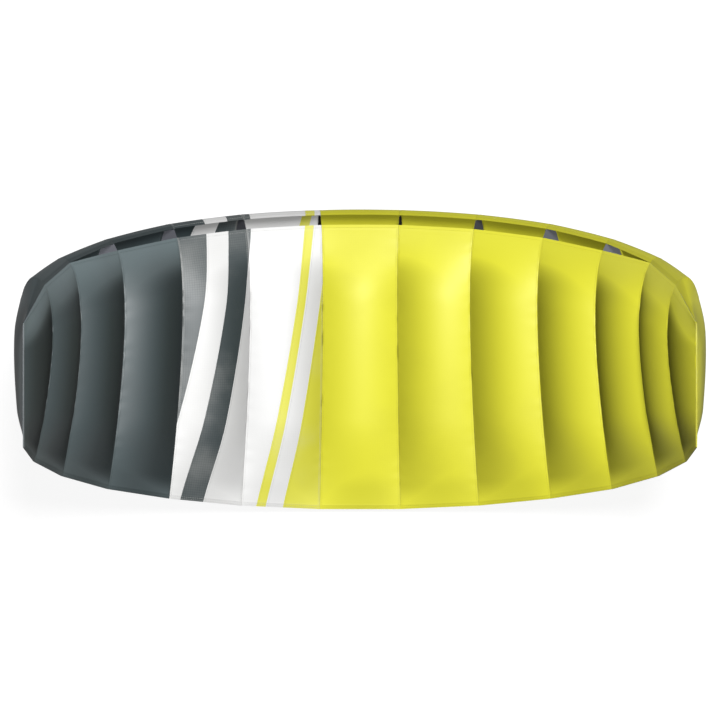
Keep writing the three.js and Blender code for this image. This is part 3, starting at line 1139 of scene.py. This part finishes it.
@dataclass
class RibCloth:
    """A profile rib of flat cloth with two bound ports that let the air through."""

    number: int
    steps: int = 60
    port_steps: int = 40
    tail_share: float = 0.985
    clear_of_skin: float = 0.1 * MM
    binding_share: float = 0.3

    def __post_init__(self) -> None:
        """Works out the rib's plane."""
        self.rib = Rib.at(self.number - math.copysign(0.5, self.number))

    @property
    def name(self) -> str:
        """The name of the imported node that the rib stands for."""
        return f"rib_{side_name(self.number)}"

    def outline(self) -> np.ndarray:
        """The rib's outline, from the front edge over the nose to the tail and back to the lip.

        Returns:
            Points in the rib's plane.
        """
        depth = SKIN_CLOTH + self.clear_of_skin
        last = turn_at(self.tail_share)
        upper = np.linspace(self.rib.front(Side.UPPER), last, self.steps)
        lower = np.linspace(-last, self.rib.front(Side.LOWER), self.steps)
        turns = np.concatenate([upper, lower])
        return self.rib.inset(turns, np.full_like(turns, depth))

    def port(self, along: float, radius: float) -> np.ndarray:
        """The edge of a port.

        Args:
            along: place of its middle, as a share of the chord from the nose.
            radius: its radius, as a share of the chord.

        Returns:
            Points in the rib's plane.
        """
        turn = np.linspace(0, 2 * math.pi, self.port_steps, endpoint=False)
        rib = self.rib
        thick = rib.chord * float(thickness(np.array(along)))
        middle = np.array([rib.nose - rib.chord * along, (rib.row.above - rib.row.below) / 2 * thick])
        return middle + rib.chord * radius * np.stack([np.cos(turn), np.sin(turn)], -1)

    def in_place(self, points: np.ndarray, resting: Resting) -> np.ndarray:
        """Brings points (along, up, off) of the rib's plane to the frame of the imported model."""
        return resting.place(self.rib.in_space(points[..., :2], -points[..., 2]))

    def build(self, resting: Resting) -> bpy.types.Object:
        """Makes the flat cloth with its ports.

        Args:
            resting: places the kite on the floor.

        Returns:
            The rib's object.
        """
        loops = [self.outline()] + [self.port(**port)[::-1] for port in PORTS]
        flat = np.concatenate(loops)
        corners = [[Vector((x, y, 0)) for x, y in loop] for loop in loops]
        triangles = np.array(tessellate_polygon(corners))
        a, b, c = (flat[triangles[:, column]] for column in range(3))
        turned = (b[:, 0] - a[:, 0]) * (c[:, 1] - a[:, 1]) - (b[:, 1] - a[:, 1]) * (c[:, 0] - a[:, 0]) < 0
        triangles[turned] = triangles[turned][:, ::-1]
        count = len(flat)
        faces = triangles.tolist() + (triangles[:, ::-1] + count).tolist()
        start = 0
        for loop in loops:
            ring = np.arange(start, start + len(loop))
            start += len(loop)
            nxt = np.roll(ring, -1)
            faces += np.stack([nxt, ring, ring + count, nxt + count], -1).tolist()
        half = RIB_CLOTH / 2
        solid = np.concatenate([np.c_[flat, np.full(count, half)], np.c_[flat, np.full(count, -half)]])
        chord_share = (self.rib.nose - solid[:, 0]) / self.rib.chord
        # The ribs nearest the middle get painted shade for the deep shade in their intakes
        maps = {"Weave": solid[:, :2], "Cut": np.c_[np.full(2 * count, float(self.number)), chord_share],
                "Worn": np.tile([RIB_PAINTED_SHADE.get(abs(self.number), 0.0), 0.0], (2 * count, 1))}
        return solid_piece(f"rib_cloth_{side_name(self.number)}", self.in_place(solid, resting), faces, maps)

    def bind_ports(self, resting: Resting, tree: Tree,
                   material: bpy.types.Material) -> bpy.types.Object:
        """Makes the tape that binds the ports' edges.

        Args:
            resting: places the kite on the floor.
            tree: the Geometry Nodes group for bound edges.
            material: the tape's material.

        Returns:
            The tape's object.
        """
        loops = [self.port(**port) for port in PORTS]
        path = polylines([np.c_[loop, np.zeros(len(loop))] for loop in loops], closed=True)
        mesh = grown(path, tree, {"Width": BINDING_WIDTH, "Thickness": BINDING_THICKNESS, "Cloth": material})
        points = np.array([vertex.co for vertex in mesh.vertices])
        faces = [tuple(polygon.vertices) for polygon in mesh.polygons]
        cut = np.tile([float(self.number), self.binding_share], (len(points), 1))
        maps = {"Weave": points[:, :2], "Cut": cut, "Worn": np.tile([0.0, 1.0], (len(points), 1))}
        bpy.data.meshes.remove(mesh)
        name = f"port_binding_{side_name(self.number)}"
        return solid_piece(name, self.in_place(points, resting), faces, maps)

    def cut_size(self) -> tuple[float, float, float]:
        """The rib's width, length and area as it was cut.

        Returns:
            Height of the profile, its length and its area without the ports.
        """
        loops = [self.outline()] + [self.port(**port) for port in PORTS]
        areas = []
        for loop in loops:
            nxt = np.roll(loop, -1, axis=0)
            areas.append(abs(float(np.sum(loop[:, 0] * nxt[:, 1] - nxt[:, 0] * loop[:, 1]))) / 2)
        span = loops[0].max(0) - loops[0].min(0)
        return float(span[1]), float(span[0]), areas[0] - sum(areas[1:])


def signed_volume(points: np.ndarray, faces: list[tuple[int, ...]]) -> float:
    """Tells which way closed faces point.

    Args:
        points: their corners.
        faces: the corners of each face, by number.

    Returns:
        Six times the volume inside, below zero where the faces point inwards.
    """
    total = 0.0
    middle = points.mean(0)
    for face in faces:
        ring = points[list(face)] - middle
        for number in range(1, len(face) - 1):
            total += float(np.dot(ring[0], np.cross(ring[number], ring[number + 1])))
    return total


def solid_piece(name: str, points: np.ndarray, faces: list[tuple[int, ...]],
                maps: dict[str, np.ndarray]) -> bpy.types.Object:
    """Makes a closed object whose faces point outwards.

    Args:
        name: its name.
        points: its corners.
        faces: its faces.
        maps: a UV value for each corner, by UV map name.

    Returns:
        The new object, linked to the scene.
    """
    if signed_volume(points, faces) < 0:
        faces = [tuple(face)[::-1] for face in faces]
    mesh = bpy.data.meshes.new(name)
    mesh.from_pydata(points.tolist(), [], faces)
    corners = np.array([index for face in faces for index in face])
    for map_name, values in maps.items():
        layer = mesh.uv_layers.new(name=map_name)
        layer.data.foreach_set("uv", values[corners].astype(np.float32).reshape(-1))
    mesh.polygons.foreach_set("use_smooth", np.ones(len(mesh.polygons), bool))
    mesh.set_sharp_from_angle(angle=SHARP_ANGLE)
    mesh.update()
    return in_scene(name, mesh)


def polylines(lines: list[np.ndarray], closed: bool) -> bpy.types.Object:
    """Makes a path object of loose edges for Geometry Nodes.

    Args:
        lines: points of each line.
        closed: joins each line's ends.

    Returns:
        The path's object.
    """
    points, edges, start = [], [], 0
    for line in lines:
        count = len(line)
        points += line.tolist()
        edges += [(start + number, start + number + 1) for number in range(count - 1)]
        if closed:
            edges.append((start + count - 1, start))
        start += count
    mesh = bpy.data.meshes.new("path")
    mesh.from_pydata(points, edges, [])
    return in_scene("path", mesh)


def grown(path: bpy.types.Object, tree: Tree, values: dict[str, object]) -> bpy.types.Mesh:
    """Runs a Geometry Nodes group on a path and removes the path.

    Args:
        path: the path's object.
        tree: the group.
        values: its inputs by name.

    Returns:
        The plain mesh that it made.
    """
    modifier = path.modifiers.new("Grow", "NODES")
    modifier.node_group = tree
    for item in tree.interface.items_tree:
        if item.in_out == "INPUT" and item.name in values:
            modifier[item.identifier] = values[item.name]
    path.update_tag()
    graph = bpy.context.evaluated_depsgraph_get()
    mesh = bpy.data.meshes.new_from_object(path.evaluated_get(graph))
    path.modifiers.remove(modifier)
    old = path.data
    bpy.data.objects.remove(path)
    bpy.data.meshes.remove(old)
    return mesh


@dataclass
class Sewing:
    """The rows of stitches along the seams and hems, and the trees that lay thread and tape."""

    pitch: float = 4.0 * MM
    length: float = 3.1 * MM
    radius: float = 0.3 * MM
    from_seam: float = 3.5 * MM
    hem_rows: tuple[float, float] = (2.5 * MM, 6.5 * MM)
    front_row: float = 6.0 * MM
    lift: float = 0.08 * MM
    segments: int = 4
    rings: int = 3
    hem_span: tuple[float, float] = (0.03, 0.97)
    hem_points: int = 40
    clear_of_front: float = 3 * MM
    clear_of_tail: float = 2 * MM

    def stitch_tree(self) -> Tree:
        """A row of stitches along each line of a path.

        Returns:
            The Geometry Nodes group.
        """
        bench, given, out = new_tree("Stitch row", "Geometry", {
            "Path": "Geometry", "Pitch": self.pitch, "Stitch length": self.length,
            "Thread radius": self.radius, "Thread": "Material"}, ("Stitches",))
        curve = bench.add("GeometryNodeMeshToCurve", {"Mesh": given["Path"]})
        spaced = bench.add("GeometryNodeResampleCurve", {"Curve": curve, "Length": given["Pitch"]},
                           mode="LENGTH")
        stitch = bench.add("GeometryNodeMeshUVSphere", {
            "Segments": self.segments, "Rings": self.rings, "Radius": 1.0}, "Mesh")
        tangent = bench.add("GeometryNodeInputTangent")
        turn = bench.add("FunctionNodeAlignRotationToVector", {"Vector": tangent}, axis="Z")
        half = bench.math("MULTIPLY", given["Stitch length"], 0.5)
        radius = given["Thread radius"]
        size = bench.add("ShaderNodeCombineXYZ", {0: radius, 1: radius, 2: half})
        placed = bench.add("GeometryNodeInstanceOnPoints", {
            "Points": spaced, "Instance": stitch, "Rotation": turn, "Scale": size})
        self.finish_tree(bench, placed, given["Thread"], out)
        return bench.tree

    def tape_tree(self) -> Tree:
        """A flat tape along each line of a path that lies in a plane.

        Returns:
            The Geometry Nodes group.
        """
        bench, given, out = new_tree("Bound edge", "Geometry", {
            "Path": "Geometry", "Width": BINDING_WIDTH, "Thickness": BINDING_THICKNESS,
            "Cloth": "Material"}, ("Tape",))
        curve = bench.add("GeometryNodeMeshToCurve", {"Mesh": given["Path"]})
        upright = bench.add("GeometryNodeSetCurveNormal", {"Curve": curve}, mode="Z_UP")
        section = bench.add("GeometryNodeCurvePrimitiveQuadrilateral", {
            "Width": given["Width"], "Height": given["Thickness"]})
        swept = bench.add("GeometryNodeCurveToMesh", {"Curve": upright, "Profile Curve": section})
        self.finish_tree(bench, swept, given["Cloth"], out)
        return bench.tree

    @staticmethod
    def finish_tree(bench: Bench, shape: Socket, material: Socket, out: bpy.types.Node) -> None:
        """Ends a tree with real geometry of one material."""
        real = bench.add("GeometryNodeRealizeInstances", {0: shape})
        bench.feed(out, {0: bench.add("GeometryNodeSetMaterial", {"Geometry": real, "Material": material})})

    def rows(self, panel: SkinPanel, resting: Resting) -> list[np.ndarray]:
        """The lines that a panel is sewn along.

        Args:
            panel: the panel.
            resting: places the kite on the floor.

        Returns:
            Points of each line.
        """
        row = panel.row_places()
        along = panel.lengths(row)
        total = float(along[-1])
        share = np.linspace(*self.hem_span, self.hem_points)
        first = self.front_row + self.clear_of_front
        last = total - self.hem_rows[1] - self.clear_of_tail
        ends = np.interp([first, last], along, row)
        down = row[(row > ends[0]) & (row < ends[1])]
        off = self.from_seam / CELL_WIDTH
        lines = [self.line(panel, down, np.array([place]), resting)[:, 0] for place in (off, 1 - off)]
        for place in (self.front_row, total - self.hem_rows[0], total - self.hem_rows[1]):
            lines.append(self.line(panel, np.interp([place], along, row), share, resting)[0])
        return lines

    def line(self, panel: SkinPanel, row: np.ndarray, share: np.ndarray, resting: Resting) -> np.ndarray:
        """Points just over the face of a panel.

        Args:
            panel: the panel.
            row: places from its front edge to its tail.
            share: places across its cell.
            resting: places the kite on the floor.

        Returns:
            A grid of points.
        """
        points = panel.points(row, share, -self.lift, SEAM_OFF, panel.relief(row, share))
        placed = resting.place(points)
        placed[..., 2] = np.maximum(placed[..., 2], self.radius)
        return placed

    def build(self, name: str, lines: list[np.ndarray], tree: Tree,
              thread: bpy.types.Material) -> bpy.types.Object:
        """Lays stitches along lines.

        Args:
            name: name of the piece.
            lines: points of each line.
            tree: the group that lays stitches.
            thread: the thread's material.

        Returns:
            The stitches' object.
        """
        mesh = grown(polylines(lines, closed=False), tree, {
            "Pitch": self.pitch, "Stitch length": self.length, "Thread radius": self.radius,
            "Thread": thread})
        mesh.name = name
        mesh.polygons.foreach_set("use_smooth", np.ones(len(mesh.polygons), bool))
        return in_scene(name, mesh)


@dataclass
class Studio:
    """A pale floor, soft light and the camera square to the kite's chord."""

    view_width: float = 1.44
    elevation: float = math.radians(83)
    aim_up: float = 6.5 * MM
    distance: float = 12.0
    view_end: float = 100.0
    floor_half: float = 20.0
    floor_grey: float = 0.4
    floor_glow: float = 0.66
    floor_roughness: float = 0.9
    floor_gloss: float = 0.1
    key: float = 1.5
    key_fill: float = 2.0
    key_size: float = math.radians(14)
    key_distance: float = 5.0
    towards_top: float = math.radians(14)
    towards_right: float = math.radians(5)
    surround: float = 0.03
    surround_seen: float = 0.97

    def __post_init__(self) -> None:
        """Works out the directions of the picture: up, and back to the camera."""
        self.up = Vector((0, math.sin(self.elevation), math.cos(self.elevation)))
        self.back = Vector((0, -math.cos(self.elevation), math.sin(self.elevation)))

    @staticmethod
    def aimed(place: Vector, back: Vector) -> Matrix:
        """The matrix of a thing that looks away from a direction.

        Args:
            place: where it stands.
            back: the direction.

        Returns:
            The matrix.
        """
        up = back.cross(Vector((1, 0, 0))).normalized()
        right = up.cross(back).normalized()
        return Matrix.Translation(place) @ Matrix((right, up, back)).transposed().to_4x4()

    def set_camera(self) -> None:
        """Adds the camera."""
        data = bpy.data.cameras.new("camera")
        data.type = "ORTHO"
        data.ortho_scale = self.view_width
        data.clip_end = self.view_end
        camera = in_scene("camera", data)
        camera.matrix_world = self.aimed(self.up * self.aim_up + self.back * self.distance, self.back)
        bpy.context.scene.camera = camera

    def add_sun(self, name: str, strength: float, shadow: bool) -> None:
        """Adds a soft far light.

        Args:
            name: its name.
            strength: its strength.
            shadow: whether it casts a shadow.
        """
        light = bpy.data.lights.new(name, "SUN")
        light.energy = strength
        light.angle = self.key_size
        light.use_shadow = shadow
        back = (self.back + self.up * math.tan(self.towards_top)
                + Vector((1, 0, 0)) * math.tan(self.towards_right)).normalized()
        in_scene(name, light).matrix_world = self.aimed(back * self.key_distance, back)

    def light(self) -> None:
        """Adds the lights and a pale surround that looks brighter than it shines."""
        bpy.context.scene.view_settings.view_transform = "Standard"
        self.add_sun("key", self.key, True)
        self.add_sun("key_fill", self.key_fill, False)
        world = bpy.data.worlds.new("surround")
        bpy.context.scene.world = world
        world.use_nodes = True
        bench = Bench(world.node_tree)
        fill = world.node_tree.nodes["Background"]
        bench.feed(fill, {"Color": grey(1.0), "Strength": self.surround})
        seen = bench.add("ShaderNodeBackground", {"Color": grey(self.surround_seen)})
        from_camera = bench.add("ShaderNodeLightPath", output="Is Camera Ray")
        mixed = bench.add("ShaderNodeMixShader", {0: from_camera, 1: fill.outputs[0], 2: seen})
        bench.feed(world.node_tree.nodes["World Output"], {"Surface": mixed})

    def lay_floor(self) -> None:
        """Adds the floor."""
        half = self.floor_half
        mesh = bpy.data.meshes.new("studio_floor")
        corners = [(-half, -half, 0), (half, -half, 0), (half, half, 0), (-half, half, 0)]
        mesh.from_pydata(corners, [], [(0, 1, 2, 3)])
        material, bench, shader = new_material("pale_floor")
        seen = bench.add("ShaderNodeLightPath", output="Is Camera Ray")
        bench.feed(shader, {
            "Base Color": grey(self.floor_grey),
            "Roughness": self.floor_roughness,
            "Specular IOR Level": self.floor_gloss,
            "Emission Color": grey(1.0),
            "Emission Strength": bench.math("MULTIPLY", seen, self.floor_glow),
        })
        mesh.materials.append(material)
        in_scene("studio_floor", mesh)


@dataclass
class Kite:
    """The whole kite: skins, ribs, tapes and stitches."""

    wardrobe: Wardrobe = field(default_factory=Wardrobe)
    sewing: Sewing = field(default_factory=Sewing)
    resting: Resting = field(default_factory=Resting)

    def build(self) -> None:
        """Builds and dresses every piece."""
        self.resting.settle(SkinPanel(3, Side.LOWER))
        LOG.info("kite offset %s", [round(float(v), 6) for v in self.resting.offset])
        lines: dict[Cloth, list[np.ndarray]] = {cloth: [] for cloth in self.wardrobe.threads}
        for side in Side:
            for cell in range(-LAST_CELL, LAST_CELL + 1):
                cloth = self.build_panel(SkinPanel(cell, side), lines)
                LOG.info("%s skin of cell %d in %s", side.value, cell, cloth.value)
        tape = self.sewing.tape_tree()
        for number in range(-LAST_CELL, LAST_CELL + 1):
            if number:
                self.build_rib(RibCloth(number), tape)
        stitch = self.sewing.stitch_tree()
        for cloth, rows in lines.items():
            name = f"stitching_{cloth.name.lower()}"
            stitches = self.sewing.build(name, rows, stitch, self.wardrobe.threads[cloth])
            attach(stitches, BODY)
            LOG.info("%s in %d rows, %d faces", name, len(rows), len(stitches.data.polygons))

    def build_panel(self, panel: SkinPanel, lines: dict[Cloth, list[np.ndarray]]) -> Cloth:
        """Args:
            panel: the panel.
            lines: sewing lines by cloth, to which the panel's lines are added.

        Returns:
            The panel's cloth.
        """
        piece = panel.build(self.resting)
        cloth, material = self.wardrobe.cloth_of(panel.cell)
        piece.data.materials.append(material)
        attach(piece, BODY)
        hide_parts(panel.name)
        width, length, area = panel.cut_size()
        lines[cloth] += self.sewing.rows(panel, self.resting)
        return cloth

    def build_rib(self, rib: RibCloth, tape: Tree) -> None:
        """Args:
            rib: the rib.
            tape: the group that lays tape.
        """
        piece = rib.build(self.resting)
        binding = rib.bind_ports(self.resting, tape, self.wardrobe.rib)
        for item in (piece, binding):
            item.data.materials.append(self.wardrobe.rib)
            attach(item, BODY)
        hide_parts(rib.name)
        width, length, area = rib.cut_size()
        LOG.info("rib %d and its bound ports", rib.number)


def write_sizes() -> None:
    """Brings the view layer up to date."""
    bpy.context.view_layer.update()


def main() -> None:
    """Builds the studio and the kite."""
    logging.basicConfig(level=logging.INFO, format="%(name)s: %(message)s")
    studio = Studio()
    studio.set_camera()
    studio.light()
    studio.lay_floor()
    Kite().build()
    write_sizes()


if __name__ == "__main__":
    main()
